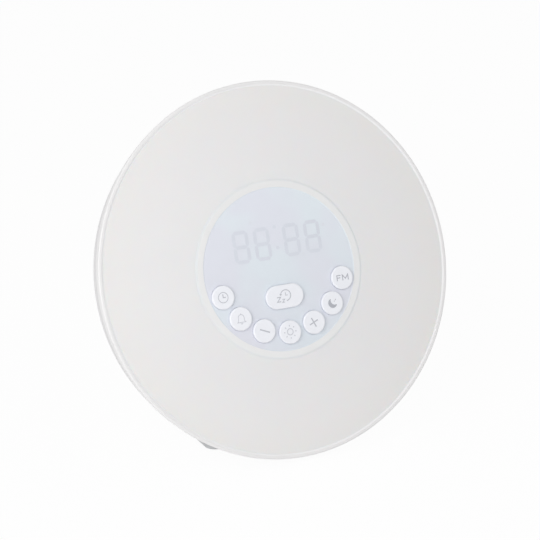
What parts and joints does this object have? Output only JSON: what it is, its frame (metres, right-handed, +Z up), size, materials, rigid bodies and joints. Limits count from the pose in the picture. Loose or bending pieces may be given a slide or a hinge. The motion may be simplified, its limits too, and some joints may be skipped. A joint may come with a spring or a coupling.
{
  "type": "sunrise alarm clock",
  "caption": "Round disc-shaped sunrise alarm clock with a diffusing lamp face, a central digital display with push keys and a low stand behind",
  "frame": {"origin": "on the ground, under the middle of the clock's width and depth", "axes": "+Z up, the face looks towards -Y and up, +X to the right seen from the front"},
  "size_m": [0.17, 0.0836, 0.1629],
  "materials": {
    "white_shell": "fine matt white",
    "diffuser": "smooth translucent white",
    "bezel_white": "satin white",
    "window_pane": "clear, backed with pale blue grey",
    "mask_sheet": "pale blue grey print",
    "key_cap": "satin white with grey legends",
    "switch_button": "moulded",
    "switch_body": "moulded",
    "module_black": "moulded",
    "segment_grey": "unlit",
    "board_green": "solder resist",
    "board_white": "white solder resist",
    "chip_black": "moulded",
    "can_metal": "drawn can",
    "steel": "zinc plated",
    "lamp_warm": "phosphor gel",
    "lamp_colour": "clear gel",
    "reflector_white": "bright white",
    "speaker_steel": "black paint",
    "speaker_cone": "treated paper",
    "soft_black": "moulded",
    "copper": "enamelled wire",
    "cell_steel": "pressed can",
    "stand_grey": "fine matt light grey",
    "jack_black": "moulded",
    "lead_red": "soft sleeve"
  },
  "bodies": {
    "clock": {"antenna_grommet": "soft_black", "battery_clip": "steel", "battery_contact": "steel", "bezel_screws": "steel", "board_capacitors": "can_metal", "board_screws": "steel", "case_screws": "steel", "clock_crystal": "can_metal", "coin_cell": "cell_steel", "colour_leds": "lamp_colour", "control_board": "board_green", "controller_chip": "chip_black", "digit_module": "module_black", "digit_segments": "segment_grey", "display_bezel": "bezel_white", "display_mask": "mask_sheet", "display_window": "window_pane", "face_panel": "diffuser", "frame_screws": "steel", "jack_pin": "steel", "key_switches": "switch_body", "lamp_board": "board_white", "lamp_leads": "lead_red", "light_reflector": "reflector_white", "power_board": "board_green", "power_jack": "jack_black", "power_leads": "lead_red", "power_screws": "steel", "radio_chip": "chip_black", "rear_shell": "white_shell", "rim_ring": "white_shell", "speaker_cone": "speaker_cone", "speaker_frame": "speaker_steel", "speaker_leads": "lead_red", "speaker_magnet": "speaker_steel", "speaker_screws": "steel", "speaker_surround": "soft_black", "stand": "stand_grey", "stand_feet": "soft_black", "stand_screws": "steel", "voice_coil": "copper", "warm_leds": "lamp_warm"},
    "time_key_body": {"time_key": "key_cap", "time_plunger": "switch_button"},
    "alarm_key_body": {"alarm_key": "key_cap", "alarm_plunger": "switch_button"},
    "minus_key_body": {"minus_key": "key_cap", "minus_plunger": "switch_button"},
    "light_key_body": {"light_key": "key_cap", "light_plunger": "switch_button"},
    "plus_key_body": {"plus_key": "key_cap", "plus_plunger": "switch_button"},
    "sleep_key_body": {"sleep_key": "key_cap", "sleep_plunger": "switch_button"},
    "radio_key_body": {"radio_key": "key_cap", "radio_plunger": "switch_button"},
    "snooze_key_body": {"snooze_key": "key_cap", "snooze_plunger": "switch_button"},
    "battery_door_body": {"battery_door": "white_shell"}
  },
  "joints": [
    {"name": "time_press", "type": "slide", "parent": "clock", "child": "time_key_body", "axis": [0, 0.9397, -0.342], "range_m": [0, 0.0005], "stiffness_N_per_m": 2000, "springref_m": -0.0002},
    {"name": "alarm_press", "type": "slide", "parent": "clock", "child": "alarm_key_body", "axis": [0, 0.9397, -0.342], "range_m": [0, 0.0005], "stiffness_N_per_m": 2000, "springref_m": -0.0002},
    {"name": "minus_press", "type": "slide", "parent": "clock", "child": "minus_key_body", "axis": [0, 0.9397, -0.342], "range_m": [0, 0.0005], "stiffness_N_per_m": 2000, "springref_m": -0.0002},
    {"name": "light_press", "type": "slide", "parent": "clock", "child": "light_key_body", "axis": [0, 0.9397, -0.342], "range_m": [0, 0.0005], "stiffness_N_per_m": 2000, "springref_m": -0.0002},
    {"name": "plus_press", "type": "slide", "parent": "clock", "child": "plus_key_body", "axis": [0, 0.9397, -0.342], "range_m": [0, 0.0005], "stiffness_N_per_m": 2000, "springref_m": -0.0002},
    {"name": "sleep_press", "type": "slide", "parent": "clock", "child": "sleep_key_body", "axis": [0, 0.9397, -0.342], "range_m": [0, 0.0005], "stiffness_N_per_m": 2000, "springref_m": -0.0002},
    {"name": "radio_press", "type": "slide", "parent": "clock", "child": "radio_key_body", "axis": [0, 0.9397, -0.342], "range_m": [0, 0.0005], "stiffness_N_per_m": 2000, "springref_m": -0.0002},
    {"name": "snooze_press", "type": "slide", "parent": "clock", "child": "snooze_key_body", "axis": [0, 0.9397, -0.342], "range_m": [0, 0.0005], "stiffness_N_per_m": 2000, "springref_m": -0.0002},
    {"name": "battery_door_turn", "type": "hinge", "parent": "clock", "child": "battery_door_body", "pos_m": [-0.032, 0.01389, 0.05437], "axis": [0, 0.9397, -0.342], "range_deg": [0, 45]}
  ]
}
